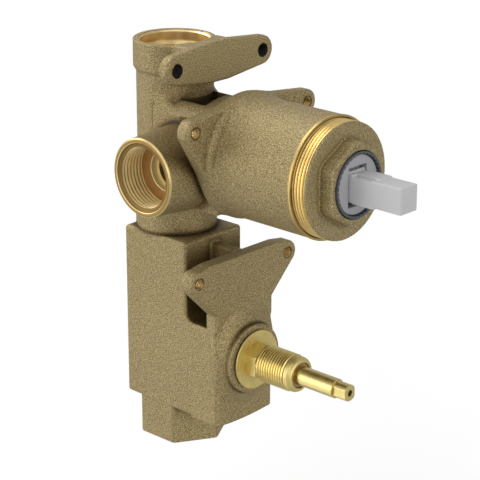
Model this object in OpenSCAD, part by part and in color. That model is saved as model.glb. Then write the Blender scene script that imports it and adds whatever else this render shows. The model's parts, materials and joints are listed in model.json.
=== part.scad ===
// Concealed shower mixer valve: one brass casting with a 40 mm single-lever
// ceramic cartridge and a two-way ceramic diverter.
// Frame: X to the right as the user faces the wall, -Y towards the user
// (lever and spindle point along -Y), Z up. Millimetres.
// Origin: centre of the lower outlet face.

/* [Body] */
// Height from the lower outlet face to the rim of the top outlet
body_h = 175; // [173:1:178]
// Width of the lower block
block_w = 34.2; // [33.6:0.1:35]
// Depth of the lower block
block_d = 36.5; // [36:0.1:37.5]
// Height at which the lower block ends and the neck begins
block_top = 94; // [93:0.5:96]
// Height of the hexagon around the lower outlet
hex_h = 17; // [16.5:0.5:18]
// Outer diameter of the vertical tube
tube_d = 32.4; // [32:0.1:33]
// Outer diameter of the collar around the top outlet
collar_d = 34.8; // [34.4:0.1:36]
// Height of the collar
collar_h = 11.5; // [10:0.5:13]
// Distance of the tube axis behind the lower outlet axis
tube_y = 3.75; // [3.5:0.05:4]
// Edge radius of the cast block
edge_r = 1.8; // [1:0.1:2.5]

/* [Inlets and outlets] */
// Plain bore of the G3/4 tapped ports (thread minor diameter)
port_bore = 24.12; // [24:0.02:24.3]
// Diameter of the lead-in at the mouth of the inlets
port_mouth = 28.4; // [28:0.1:29]
// Length of the tapped part of each inlet
port_thread = 11.4; // [11:0.2:12]
// Distance of each inlet face from the centre plane
inlet_reach = 39.4; // [39:0.1:41]
// Height of the inlet axis
inlet_z = 127; // [126.8:0.1:127.2]
// Distance of the inlet axis in front of the lower outlet axis
inlet_y = 16.25; // [16:0.05:16.5]
// Outer diameter of the inlets at the face
inlet_d = 32.8; // [32.4:0.1:34]

/* [Cartridge chamber] */
// Height of the cartridge axis
cart_z = 132.6; // [132.4:0.1:132.8]
// Outer diameter of the chamber
bell_d = 50.6; // [50.4:0.1:51.5]
// Bore of the chamber
bell_bore = 41; // [40.9:0.05:41.1]
// Front end of the chamber, measured from the lower outlet axis
bell_front = 83.3; // [83:0.1:84]
// Major diameter of the nut thread, M48 x 1.5
nut_thread = 47.9; // [47.8:0.02:47.96]
// Hexagon of the nut across its flats
nut_af = 31.8; // [31.4:0.2:33]

/* [Fixing ears] */
// Hole spacing of the top ears
top_ear_span = 50; // [49.5:0.5:52]
// Hole spacing of the chamber ears
bell_ear_span = 66; // [65.5:0.5:68]
// Hole spacing of the lower ears
low_ear_span = 53.5; // [53:0.5:55]
// Plain bore of the M6 tapped holes in the top ears
m6_bore = 5; // [4.9:0.05:5.1]
// Plain bore of the M5 tapped holes in the other ears
m5_bore = 4.2; // [4.1:0.05:4.3]

/* [Lever] */
// Width of the lever's end
lever_w = 9.9; // [9.4:0.1:10]
// Height of the lever's end
lever_h = 10.7; // [10.3:0.1:10.9]
// Reach of the lever tip from the lower outlet axis
lever_reach = 121.3; // [120:0.1:125]

/* [Diverter] */
// Height of the diverter axis
div_z = 44.1; // [43.9:0.1:44.3]
// Major diameter of the bonnet's outer thread
bonnet_thread = 16; // [15.8:0.1:16.4]
// Diameter of the diverter stem
stem_d = 8.2; // [8:0.05:8.3]
// Reach of the diverter stem tip from the lower outlet axis
stem_reach = 94.5; // [94:0.5:98]

/* [Hidden] */
$fn = 96;
e = 0.01;

bx = block_w / 2;
by = block_d / 2;
front_y = -36.25;         // front face of the diverter chamber
ext_top = 59.5;           // top of the diverter chamber
plate_back = -30;         // back of the lower ear plate
low_ear_z = 83.2;
top_ear_z = 169.5;
bell_ear_z = 149;
boss_front = -42;         // front of the round boss around the bonnet
hub_x = 16.5;             // half width of the hub between the inlets
hub_top = 147;
floor_y = -46;            // seat of the cartridge
hot = [-10.5, -5.6];      // water ways in the seat, from the cartridge axis
cold = [10.5, -5.6];
out = [0, 9.4];
pivot_y = -88;            // lever pivot
ball_y = -73;             // centre of the lever's ball end
mix_y = -6.2;             // mixed-water channel, seat to diverter
rise_y = 9;               // channel from the diverter up to the top outlet
div_floor = -2;           // seat of the diverter discs
div_a = [3.82, 3.82];     // diverter way to the top outlet
div_b = [3.82, -3.82];    // diverter way to the lower outlet
brass = [0.62, 0.53, 0.36];
gold = [0.83, 0.66, 0.32];

// cylinder along Y from y0 (rear) to y1 (front, smaller), axis at x, z
module ycyl(y0, y1, r, x = 0, z = 0, r2 = undef, fn = 96)
  translate([x, y0, z]) rotate([90, 0, 0])
    cylinder(h = y0 - y1, r1 = r, r2 = (r2 == undef ? r : r2), $fn = fn);

// ring along Y
module yring(y0, y1, ro, ri, x = 0, z = 0)
  difference() {
    ycyl(y0, y1, ro, x, z);
    ycyl(y0 + 1, y1 - 1, ri, x, z);
  }

// rounded rectangle with true round corners
module rrect(w, d, r) {
  square([w - 2 * r, d], center = true);
  square([w, d - 2 * r], center = true);
  for (sx = [-1, 1], sy = [-1, 1])
    translate([sx * (w / 2 - r), sy * (d / 2 - r)]) circle(r = r, $fn = 32);
}

// two circles and the band tangent to both
module strap(a, ra, b, rb) {
  d = norm(b - a);
  t = atan2(b[1] - a[1], b[0] - a[0]);
  k = acos((ra - rb) / d);
  translate(a) circle(r = ra);
  translate(b) circle(r = rb);
  polygon([a + ra * [cos(t + k), sin(t + k)], b + rb * [cos(t + k), sin(t + k)],
           b + rb * [cos(t - k), sin(t - k)], a + ra * [cos(t - k), sin(t - k)]]);
}

// plate in the XZ plane from y0 (rear) to y1 (front)
module yplate(y0, y1)
  translate([0, y0, 0]) rotate([90, 0, 0]) linear_extrude(height = y0 - y1) children();

// tapped port along +Z, cut from its face at the origin downwards
module port_cut() {
  translate([0, 0, -port_thread - 1.6]) cylinder(h = port_thread + 2, d = port_bore);
  translate([0, 0, -1.6]) cylinder(h = 1.6 + e, d1 = port_bore + 2.4, d2 = port_mouth);
  translate([0, 0, -17.1]) cylinder(h = 17.1 - port_thread - 1.5, r = 8.3);
}

module top_ear_plate() {
  s = top_ear_span / 2;
  yplate(-18, -23) {
    strap([-s, top_ear_z], 6.2, [-4.5, top_ear_z - 0.2], 8.4);
    strap([s, top_ear_z], 6.2, [4.5, top_ear_z - 0.2], 8.4);
    translate([-4.5, top_ear_z - 8.6]) square([9, 16.8]);
  }
  // pad that joins the plate to the collar
  translate([-13, -18.5, top_ear_z - 7]) cube([26, 13, 12.5]);
}

module bell_ear_plate() {
  s = bell_ear_span / 2;
  yplate(-35, -41) {
    strap([-s, bell_ear_z], 5.3, [0, cart_z], bell_d / 2);
    strap([s, bell_ear_z], 5.3, [0, cart_z], bell_d / 2);
  }
}

module low_ear_plate() {
  s = low_ear_span / 2;
  r = 5.2;
  k = low_ear_z - r * cos(45) - (s + r * sin(45) - bx);
  yplate(plate_back, front_y) {
    for (m = [-1, 1]) translate([m * s, low_ear_z]) circle(r = r);
    polygon([[-s, low_ear_z + r], [-s + 6, low_ear_z + r + 1], [s - 6, low_ear_z + r + 1],
      [s, low_ear_z + r], [s + r * sin(45), low_ear_z - r * cos(45)], [bx, k],
      [bx, ext_top - 5], [-bx, ext_top - 5], [-bx, k],
      [-s - r * sin(45), low_ear_z - r * cos(45)]]);
  }
}

module body_outside() {
  // hexagon around the lower outlet
  rotate(30) cylinder(h = hex_h + 1, r = block_w / 2 / cos(30), $fn = 6);
  // block and diverter chamber
  translate([0, 0, hex_h]) linear_extrude(height = block_top - hex_h) rrect(block_w, block_d, edge_r);
  translate([0, (front_y + 8) / 2, hex_h]) linear_extrude(height = ext_top - hex_h)
    rrect(block_w, 8 - front_y, edge_r);
  ycyl(front_y + 1, boss_front, 15, 0, div_z);
  low_ear_plate();
  // rib between the block and the lower ear plate
  translate([-2.5, plate_back - 1, ext_top - 2]) cube([5, -by - plate_back + 2, 91 - ext_top]);
  // neck, tube and collar
  translate([0, tube_y, block_top - 2]) cylinder(h = 20, d = 34.6);
  translate([0, tube_y, block_top + 10]) cylinder(h = body_h - block_top - 12, d = tube_d);
  translate([0, tube_y, body_h - collar_h]) cylinder(h = collar_h, d = collar_d);
  translate([0, tube_y, body_h - collar_h - 1.7])
    cylinder(h = 1.7 + e, d1 = tube_d - 0.2, d2 = collar_d);
  top_ear_plate();
  // inlets
  for (m = [-1, 1]) translate([0, -inlet_y, inlet_z]) rotate([0, m * 90, 0])
    cylinder(h = inlet_reach, r1 = 19, r2 = inlet_d / 2);
  // hub between the tube and the cartridge chamber
  translate([-hub_x, -35.5, 109.8]) cube([2 * hub_x, 35.5 + tube_y, hub_top - 109.8]);
  // fillet from the hub up to the tube
  intersection() {
    translate([0, tube_y, hub_top - 1]) difference() {
      cylinder(h = 9.9, r = tube_d / 2 + 8.8);
      translate([0, 0, 9.95]) rotate_extrude() translate([tube_d / 2 + 8.8, 0]) circle(r = 9, $fn = 48);
    }
    translate([-hub_x, -30, hub_top - 2]) cube([2 * hub_x, 30 + tube_y, 14]);
  }
  // round neck of the chamber, showing above the hub
  intersection() {
    ycyl(-8, -35.5, 22.2, 0, cart_z);
    translate([-hub_x, -40, hub_top - 0.6]) cube([2 * hub_x, 40, 30]);
  }
  // cartridge chamber
  bell_ear_plate();
  ycyl(-40.9, -48, bell_d / 2 + 1.2, 0, cart_z, bell_d / 2);
  ycyl(-35, -bell_front, bell_d / 2, 0, cart_z);
  ycyl(-bell_front + 1.3, -bell_front, bell_d / 2 + 0.53, 0, cart_z);
}

module body_inside() {
  // four tapped ports; the top one has a deep counterbore
  translate([0, tube_y, body_h]) {
    translate([0, 0, -19]) cylinder(h = 20, d = port_bore);
    translate([0, 0, -4.8]) cylinder(h = 5, d = 29);
    translate([0, 0, -1]) cylinder(h = 1 + e, d1 = 29, d2 = 31.2);
  }
  translate([0, 0, -1]) cylinder(h = 13.6, d = port_bore);
  translate([0, 0, 12.6 - e]) cylinder(h = 2 + e, d = port_bore + 0.6);
  for (m = [-1, 1]) translate([m * inlet_reach, -inlet_y, inlet_z]) rotate([0, m * 90, 0]) port_cut();
  // inlet water ways to the cartridge seat
  for (m = [-1, 1]) {
    translate([m * 5.4, -inlet_y, inlet_z]) rotate([0, m * 90, 0]) cylinder(h = 18, r = 7.5);
    ycyl(-inlet_y, floor_y - 1, 4.5, m * 10.5, cart_z + hot[1]);
  }
  // mixed water: seat, back, down to the diverter
  ycyl(mix_y + 2, floor_y - 1, 4.5, 0, cart_z + out[1]);
  translate([0, mix_y, div_z]) cylinder(h = cart_z + out[1] + 1 - div_z, r = 4);
  translate([-3.6, -21.5, div_z]) cube([7.2, 21.5 + mix_y, 12.2]);
  // diverter to the top outlet
  translate([0, rise_y, 46]) cylinder(h = body_h - 18 - 46, r = 6.25);
  ycyl(rise_y, div_floor - 1, 2.8, div_a[0], div_z + div_a[1]);
  // diverter to the lower outlet
  translate([0, 5, 13]) cylinder(h = 29.4, r = 5);
  ycyl(6, div_floor - 1, 2.8, div_b[0], div_z + div_b[1]);
  // cartridge chamber
  ycyl(floor_y, -bell_front - 1, bell_bore / 2, 0, cart_z);
  ycyl(-73.5, -bell_front - 1, nut_thread / 2 + 0.05, 0, cart_z);
  ycyl(-bell_front + 0.8, -bell_front - e, nut_thread / 2 + 0.05, 0, cart_z, nut_thread / 2 + 0.7);
  // diverter chamber
  ycyl(div_floor, boss_front - 1, 11, 0, div_z);
  // ear holes with a small countersink
  for (m = [-1, 1]) {
    ycyl(-17, -24, m6_bore / 2, m * top_ear_span / 2, top_ear_z, fn = 48);
    ycyl(-22.6, -23 - e, m6_bore / 2, m * top_ear_span / 2, top_ear_z, m6_bore / 2 + 0.4, 48);
    ycyl(-34, -42, m5_bore / 2, m * bell_ear_span / 2, bell_ear_z, fn = 48);
    ycyl(-40.4, -41 - e, m5_bore / 2, m * bell_ear_span / 2, bell_ear_z, m5_bore / 2 + 0.6, 48);
    ycyl(-29, -38, m5_bore / 2, m * low_ear_span / 2, low_ear_z, fn = 48);
    ycyl(front_y + 0.6, front_y - e, m5_bore / 2, m * low_ear_span / 2, low_ear_z, m5_bore / 2 + 0.6, 48);
  }
}

module valve_body() color(brass) difference() {
  body_outside();
  body_inside();
}

// cap nut with male thread, rough cast face and hexagon
module cartridge_nut() color(brass) difference() {
  union() {
    ycyl(-75, -89.5, nut_thread / 2, 0, cart_z);
    ycyl(-89.5, -90.15, nut_thread / 2, 0, cart_z, nut_thread / 2 - 0.4);
    intersection() {
      translate([0, -89, cart_z]) rotate([90, 0, 0]) rotate(30)
        cylinder(h = 7.4, r = nut_af / 2 / cos(30), $fn = 6);
      ycyl(-88, -98, 17.7, 0, cart_z);
    }
  }
  ycyl(-74, -84.5, 20.6, 0, cart_z);
  ycyl(-80, -99, 13.7, 0, cart_z);
}

module water_ways(y0, y1, r) {
  ycyl(y0, y1, r, hot[0], cart_z + hot[1], fn = 64);
  ycyl(y0, y1, r, cold[0], cart_z + cold[1], fn = 64);
  ycyl(y0, y1, r, out[0], cart_z + out[1], fn = 64);
}

module cartridge_base() color([0.86, 0.86, 0.84]) difference() {
  union() {
    ycyl(-46.1, -56, 20.2, 0, cart_z);
    ycyl(-56, -57.4, 18.4, 0, cart_z);
  }
  water_ways(-45, -59, 4.2);
  for (p = [hot, cold, out]) ycyl(-45, -48, 6.1, p[0], cart_z + p[1]);
  difference() {
    ycyl(-49.9, -52.1, 21, 0, cart_z);
    ycyl(-49, -53, 18.6, 0, cart_z);
  }
}

module port_seal(p) color([0.1, 0.1, 0.11])
  translate([p[0], -47, cart_z + p[1]]) rotate([90, 0, 0])
    rotate_extrude() translate([5.1, 0]) circle(r = 0.95, $fn = 32);
module hot_seal() port_seal(hot);
module cold_seal() port_seal(cold);
module outlet_seal() port_seal(out);

module base_o_ring() color([0.1, 0.1, 0.11])
  translate([0, -51, cart_z]) rotate([90, 0, 0])
    rotate_extrude() translate([19.55, 0]) circle(r = 0.9, $fn = 32);

module disc_seal() color([0.12, 0.12, 0.13]) difference() {
  ycyl(-57.4, -59, 17.6, 0, cart_z);
  water_ways(-56, -60, 4);
}

module fixed_disc() color([0.93, 0.93, 0.9]) difference() {
  ycyl(-59, -64, 18, 0, cart_z);
  water_ways(-58, -65, 3.8);
}

// the moving disc bridges the ways with a pocket in its rear face
module moving_disc() color([0.9, 0.9, 0.87]) difference() {
  ycyl(-64.05, -68, 14.7, 0, cart_z);
  yplate(-63, -66.4) translate([0, cart_z]) {
    translate([0, 5.2]) circle(r = 5.2, $fn = 64);
    translate([0, 0.8]) circle(r = 6.6, $fn = 64);
  }
}

module disc_carrier() color([0.55, 0.56, 0.58]) difference() {
  union() {
    ycyl(-68, -70, 14.7, 0, cart_z);
    intersection() {
      ycyl(-69.5, -75.6, 14.7, 0, cart_z);
      translate([-12.1, -76, cart_z - 11]) cube([24.2, 8, 22]);
    }
  }
  // pocket for the lever's ball
  translate([-3.35, -77, cart_z - 3.35]) cube([6.7, 7.6, 6.7]);
}

module cartridge_housing() color([0.82, 0.82, 0.8]) difference() {
  union() {
    ycyl(-56, -84.4, 20.2, 0, cart_z);
    ycyl(-84, -92.8, 13.4, 0, cart_z);
  }
  ycyl(-55, -81.2, 18.5, 0, cart_z);
  ycyl(-80, -94, 12, 0, cart_z);
}

module slip_ring() color([0.95, 0.95, 0.93]) yring(-80.1, -81.2, 16.8, 12.4, 0, cart_z);

module turret() color([0.68, 0.69, 0.7]) difference() {
  union() {
    ycyl(-76, -80, 16.5, 0, cart_z);
    ycyl(-79, -95.8, 11.92, 0, cart_z);
    // legs that turn the disc carrier
    for (m = [-1, 1]) intersection() {
      ycyl(-70.4, -76.5, 16.5, 0, cart_z);
      translate([m * 14.5 - 2, -77, cart_z - 6]) cube([4, 8, 12]);
    }
  }
  // slot for the lever, open front and back
  translate([-5.4, -97, cart_z - 8.6]) cube([10.8, 14, 16.3]);
  translate([-3.4, -84, cart_z - 6.4]) cube([6.8, 10, 12.8]);
  // bore of the pivot pin, a drive fit in the turret
  translate([-13, pivot_y, cart_z]) rotate([0, 90, 0]) cylinder(h = 26, r = 1.5, $fn = 48);
}

module lever_pin() color([0.75, 0.76, 0.78])
  translate([-10, pivot_y, cart_z]) rotate([0, 90, 0]) cylinder(h = 20, r = 1.5, $fn = 48);

module lever() color([0.76, 0.76, 0.77]) difference() {
  union() {
    // ball end in the disc carrier
    translate([0, ball_y, cart_z]) sphere(r = 3, $fn = 48);
    ycyl(ball_y - 1.5, pivot_y + 3, 2.2, 0, cart_z, fn = 48);
    // barrel around the pivot
    translate([-5.05, pivot_y, cart_z]) rotate([0, 90, 0]) cylinder(h = 10.1, r = 4.3, $fn = 64);
    // root block with its lower stop and raised top
    translate([-5.05, 0, cart_z]) rotate([90, 0, 90]) linear_extrude(height = 10.1)
      polygon([[pivot_y, -4.3], [-92, -4.85], [-98, -6.5], [-108, -6.5], [-108, 4.3], [pivot_y, 4.3]]);
    translate([-2, -109, cart_z + 4]) cube([7, 12, 1.3]);
    translate([-2.4, -105, cart_z - 7.5]) cube([4.8, 4, 2]);
    translate([-5, -97.5, cart_z + 4]) cube([4, 3, 1.3]);
    // square end
    translate([-lever_w / 2, -lever_reach, cart_z - 0.5 - lever_h / 2])
      cube([lever_w, lever_reach - 107, lever_h]);
    // round skirt that fills the turret's slot at any tilt
    intersection() {
      translate([-4.95, pivot_y, cart_z]) rotate([0, 90, 0]) cylinder(h = 9.9, r = 7.4);
      translate([-6, -97, cart_z - 8]) cube([12, 11.5, 16]);
    }
  }
  translate([-7, pivot_y, cart_z]) rotate([0, 90, 0]) cylinder(h = 14, r = 1.55, $fn = 48);
}

// toothed ring that sets the temperature stop
module limit_ring() color([0.2, 0.2, 0.23]) difference() {
  ycyl(-92.8, -97, 13.45, 0, cart_z);
  ycyl(-92, -98, 12.3, 0, cart_z);
  for (k = [0 : 35]) translate([0, 0, cart_z]) rotate([0, k * 10, 0])
    translate([12, -98, -0.35]) cube([0.75, 4, 0.7]);
}

module diverter_bonnet() color(gold) difference() {
  union() {
    ycyl(-28.5, -43, 10.95, 0, div_z);
    ycyl(-42.8, -43.5, 12.75, 0, div_z);
    translate([0, -43, div_z]) rotate([90, 0, 0]) rotate(30)
      cylinder(h = 6.5, r = 14.3 / 2 / cos(30), $fn = 6);
    ycyl(-49, -64.5, bonnet_thread / 2, 0, div_z);
    ycyl(-64.5, -67, 7.8, 0, div_z);
    ycyl(-67, -68.2, 7.8, 0, div_z, 6.7);
  }
  ycyl(-20, -72, stem_d / 2 + 0.05, 0, div_z, fn = 64);
  // recess of the clip in the front end
  ycyl(-66.4, -71, 5.6, 0, div_z, fn = 64);
  // seat of the thrust washer and of the stem's shoulder
  ycyl(-20, -33.2, 7.4, 0, div_z, fn = 64);
}

module bonnet_gasket() color([0.12, 0.12, 0.13]) yring(-42, -42.8, 12.5, 11, 0, div_z);

module diverter_cage() color([0.8, 0.8, 0.78]) difference() {
  yring(-2, -28.5, 10.7, 9.7, 0, div_z);
  translate([-4.4, -22, div_z]) cube([8.8, 11, 13]);
  translate([-4.4, -22, div_z - 13]) cube([8.8, 11, 13]);
}

module diverter_seal() color([0.12, 0.12, 0.13]) difference() {
  ycyl(-2, -3.4, 9.6, 0, div_z);
  for (p = [div_a, div_b]) ycyl(-1, -4, 3, p[0], div_z + p[1], fn = 48);
}

module diverter_fixed_disc() color([0.93, 0.93, 0.9]) difference() {
  ycyl(-3.4, -6.8, 9.6, 0, div_z);
  for (p = [div_a, div_b]) ycyl(-2, -8, 2.6, p[0], div_z + p[1], fn = 48);
}

module diverter_moving_disc() color([0.9, 0.9, 0.87]) difference() {
  ycyl(-6.85, -10, 9.2, 0, div_z);
  ycyl(-5, -11, 2.6, 5.4, div_z, fn = 48);
  ycyl(-8.5, -11, 1.6, -5.4, div_z, fn = 48);
}

module diverter_spindle() color(gold) difference() {
  union() {
    // drive plate behind the moving disc, with one drive peg
    ycyl(-10, -12.4, 8.3, 0, div_z, fn = 64);
    ycyl(-8.8, -10.1, 1.5, -5.4, div_z, fn = 48);
    ycyl(-12, -87, stem_d / 2, 0, div_z, fn = 64);
    ycyl(-29, -31.4, 6.9, 0, div_z, fn = 64);
    // flatted tip
    intersection() {
      ycyl(-86, -stem_reach, stem_d / 2 - 0.2, 0, div_z, fn = 64);
      translate([-3.25, -stem_reach - 1, div_z - 5]) cube([6.5, 12, 10]);
    }
  }
  // way through the drive plate
  translate([2.2, -13, div_z - 3]) cube([9, 4, 6]);
  // grooves of the two o-rings
  for (y = [-54, -60]) difference() {
    ycyl(y, y - 2.1, 5, 0, div_z, fn = 64);
    ycyl(y + 1, y - 3, 2.75, 0, div_z, fn = 64);
  }
  // groove of the clip
  difference() {
    ycyl(-66.6, -67.7, 5, 0, div_z, fn = 64);
    ycyl(-65, -69, 3.3, 0, div_z, fn = 64);
  }
  // screw hole in the tip
  ycyl(-88, -stem_reach - 1, 1.15, 0, div_z, fn = 32);
}

module spindle_o_rings() color([0.1, 0.1, 0.11])
  for (y = [-55.05, -61.05]) translate([0, y, div_z]) rotate([90, 0, 0])
    rotate_extrude() translate([3.45, 0]) circle(r = 0.65, $fn = 32);

module thrust_washer() color([0.95, 0.95, 0.93]) yring(-31.75, -33.2, 7.35, 4.18, 0, div_z);

module spindle_clip() color([0.7, 0.71, 0.73]) difference() {
  yring(-66.7, -67.6, 5.1, 3.35, 0, div_z);
  translate([0, -69, div_z - 1.7]) cube([8, 4, 3.4]);
}

valve_body();
cartridge_nut();
cartridge_housing();
cartridge_base();
hot_seal();
cold_seal();
outlet_seal();
base_o_ring();
disc_seal();
fixed_disc();
moving_disc();
disc_carrier();
turret();
slip_ring();
lever();
lever_pin();
limit_ring();
diverter_bonnet();
bonnet_gasket();
diverter_cage();
diverter_seal();
diverter_fixed_disc();
diverter_moving_disc();
diverter_spindle();
spindle_o_rings();
thrust_washer();
spindle_clip();
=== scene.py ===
# Concealed shower mixer valve: looks. All numbers are millimetres in the CAD frame.
import json
import math
import bpy
import numpy as np
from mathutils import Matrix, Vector

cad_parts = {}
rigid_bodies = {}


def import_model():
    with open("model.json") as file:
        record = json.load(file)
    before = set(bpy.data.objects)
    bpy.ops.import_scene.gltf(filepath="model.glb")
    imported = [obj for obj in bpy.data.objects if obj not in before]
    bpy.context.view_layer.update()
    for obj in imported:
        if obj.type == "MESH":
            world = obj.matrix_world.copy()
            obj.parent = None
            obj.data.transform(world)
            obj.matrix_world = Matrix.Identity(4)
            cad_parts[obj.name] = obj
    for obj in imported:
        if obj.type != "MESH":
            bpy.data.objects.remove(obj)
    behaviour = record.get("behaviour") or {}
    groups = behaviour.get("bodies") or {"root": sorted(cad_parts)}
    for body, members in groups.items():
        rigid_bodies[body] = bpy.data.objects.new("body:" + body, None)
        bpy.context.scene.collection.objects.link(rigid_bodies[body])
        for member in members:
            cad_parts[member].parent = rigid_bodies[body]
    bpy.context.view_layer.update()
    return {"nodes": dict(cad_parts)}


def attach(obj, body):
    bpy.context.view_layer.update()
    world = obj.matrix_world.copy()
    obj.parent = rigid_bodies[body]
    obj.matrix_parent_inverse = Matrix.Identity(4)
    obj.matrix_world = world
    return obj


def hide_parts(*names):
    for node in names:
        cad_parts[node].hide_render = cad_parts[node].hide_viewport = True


for ob in list(bpy.data.objects):
    bpy.data.objects.remove(ob, do_unlink=True)

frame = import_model()
NODES = frame["nodes"]
MM = 0.001

# ------------------------------------------------------------------ distance fields
def ln(*a):
    s = a[0] * a[0]
    for v in a[1:]:
        s = s + v * v
    return np.sqrt(s)

def pos(a):
    return np.maximum(a, 0)

def ru(a, b, r):
    """union with a true fillet of radius r"""
    return np.maximum(r, np.minimum(a, b)) - ln(pos(r - a), pos(r - b))

def ri(a, b, r):
    return -ru(-a, -b, r)

def rd(a, b, r):
    return -ru(-a, b, r)

def prism(d2, H, h0, h1, e=0.0):
    """2D field d2 extruded from h0 to h1, edges rounded by e"""
    p = d2 + e
    q = np.maximum(h0 - H, H - h1) + e
    return np.minimum(np.maximum(p, q), 0) + ln(pos(p), pos(q)) - e

def box(X, Y, Z, lo, hi, e=0.0):
    q = [np.abs(V - (a + b) / 2) - ((b - a) / 2 - e) for V, a, b in zip((X, Y, Z), lo, hi)]
    return ln(pos(q[0]), pos(q[1]), pos(q[2])) + np.minimum(np.maximum(np.maximum(q[0], q[1]), q[2]), 0) - e

def rect2(U, V, lo, hi, e=0.0):
    a = np.abs(U - (lo[0] + hi[0]) / 2) - ((hi[0] - lo[0]) / 2 - e)
    b = np.abs(V - (lo[1] + hi[1]) / 2) - ((hi[1] - lo[1]) / 2 - e)
    return ln(pos(a), pos(b)) + np.minimum(np.maximum(a, b), 0) - e

def strap2(U, V, a, ra, b, rb):
    """convex hull of two circles"""
    bx, by = b[0] - a[0], b[1] - a[1]
    h = math.hypot(bx, by)
    dx, dy = bx / h, by / h
    px, py = U - a[0], V - a[1]
    x = np.abs(px * dy - py * dx)
    y = px * dx + py * dy
    s = (ra - rb) / h
    c = math.sqrt(1 - s * s)
    k = -s * x + c * y
    return np.where(k < 0, ln(x, y) - ra, np.where(k > c * h, ln(x, y - h) - rb, x * c + y * s - ra))

def poly2(U, V, P):
    """signed distance to a closed polygon"""
    n = len(P)
    d = None
    s = np.ones(np.shape(U), bool)
    for i in range(n):
        ax, ay = P[i]
        bx, by = P[(i + 1) % n]
        ex, ey = bx - ax, by - ay
        wx, wy = U - ax, V - ay
        t = np.clip((wx * ex + wy * ey) / (ex * ex + ey * ey), 0, 1)
        q = (wx - ex * t) ** 2 + (wy - ey * t) ** 2
        d = q if d is None else np.minimum(d, q)
        c1, c2, c3 = V >= ay, V < by, ex * wy > ey * wx
        s ^= (c1 & c2 & c3) | (~c1 & ~c2 & ~c3)
    return np.where(s, 1, -1) * np.sqrt(d)

def hex2(U, V, apothem, e):
    """hexagon with flats facing +-U, corners rounded by e"""
    a = np.abs(U) - apothem
    b = 0.5 * U + 0.8660254 * np.abs(V) - apothem
    c = -0.5 * U + 0.8660254 * np.abs(V) - apothem
    return ri(ri(a, b, e), c, e)

# ------------------------------------------------------------------ field to mesh
EDGES = [((0, 0, 0), (1, 0, 0)), ((0, 1, 0), (1, 1, 0)), ((0, 0, 1), (1, 0, 1)), ((0, 1, 1), (1, 1, 1)),
         ((0, 0, 0), (0, 1, 0)), ((1, 0, 0), (1, 1, 0)), ((0, 0, 1), (0, 1, 1)), ((1, 0, 1), (1, 1, 1)),
         ((0, 0, 0), (0, 0, 1)), ((1, 0, 0), (1, 0, 1)), ((0, 1, 0), (0, 1, 1)), ((1, 1, 0), (1, 1, 1))]

def grad(f, V, eps=0.04):
    g = np.empty_like(V)
    for k in range(3):
        a, b = V.copy(), V.copy()
        a[:, k] += eps
        b[:, k] -= eps
        g[:, k] = (f(a[:, 0], a[:, 1], a[:, 2]) - f(b[:, 0], b[:, 1], b[:, 2])) / (2 * eps)
    return g

def nets(f, lo, hi, h, steps=4):
    """surface nets on a regular grid, vertices then moved on to the field's zero"""
    n = [int(math.ceil((b - a) / h)) + 1 for a, b in zip(lo, hi)]
    xs = [lo[k] + h * np.arange(n[k]) for k in range(3)]
    F = np.empty(n, np.float32)
    step = max(1, int(1.2e6 // (n[1] * n[2])))
    for i in range(0, n[0], step):
        X, Y, Z = np.meshgrid(xs[0][i:i + step], xs[1], xs[2], indexing="ij")
        F[i:i + step] = f(X, Y, Z)
    S = F < 0
    tot = np.zeros([m - 1 for m in n], np.uint8)
    for a in (0, 1):
        for b in (0, 1):
            for c in (0, 1):
                tot += S[a:n[0] - 1 + a, b:n[1] - 1 + b, c:n[2] - 1 + c]
    act = (tot > 0) & (tot < 8)
    idx = np.full(act.shape, -1, np.int64)
    I, J, K = np.nonzero(act)
    idx[act] = np.arange(len(I))
    acc = np.zeros((len(I), 3))
    cnt = np.zeros(len(I))
    for a, b in EDGES:
        fa = F[I + a[0], J + a[1], K + a[2]].astype(float)
        fb = F[I + b[0], J + b[1], K + b[2]].astype(float)
        m = (fa < 0) != (fb < 0)
        t = fa[m] / (fa[m] - fb[m])
        A, B = np.array(a, float), np.array(b, float)
        acc[m] += A + t[:, None] * (B - A)
        cnt[m] += 1
    V = (np.stack([I, J, K], 1) + acc / cnt[:, None]) * h + np.array(lo, float)
    quads = []
    for ax in range(3):
        u, v = (ax + 1) % 3, (ax + 2) % 3
        sl0 = [slice(None)] * 3
        sl1 = [slice(None)] * 3
        sl0[ax] = slice(0, n[ax] - 1)
        sl1[ax] = slice(1, n[ax])
        for q in (u, v):
            sl0[q] = slice(1, n[q] - 1)
            sl1[q] = slice(1, n[q] - 1)
        s0, s1 = S[tuple(sl0)], S[tuple(sl1)]
        C = np.stack(np.nonzero(s0 != s1), 1)
        flip = s0[tuple(C.T)]
        C[:, u] += 1
        C[:, v] += 1
        def cell(du, dv):
            D = C.copy()
            D[:, u] += du
            D[:, v] += dv
            return idx[tuple(D.T)]
        q = np.stack([cell(-1, -1), cell(0, -1), cell(0, 0), cell(-1, 0)], 1)
        q[~flip] = q[~flip][:, ::-1]
        quads.append(q)
    Q = np.concatenate(quads)
    V0 = V.copy()
    for _ in range(steps):
        d = f(V[:, 0], V[:, 1], V[:, 2])
        g = grad(f, V)
        V = V - (d / np.maximum((g * g).sum(1), 0.05))[:, None] * g
        off = V - V0
        L = np.sqrt((off * off).sum(1))
        V = V0 + off * np.minimum(1, 0.9 * h / np.maximum(L, 1e-9))[:, None]
    g = grad(f, V)
    N = g / np.maximum(np.sqrt((g * g).sum(1)), 1e-9)[:, None]
    return V, Q, N

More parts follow.
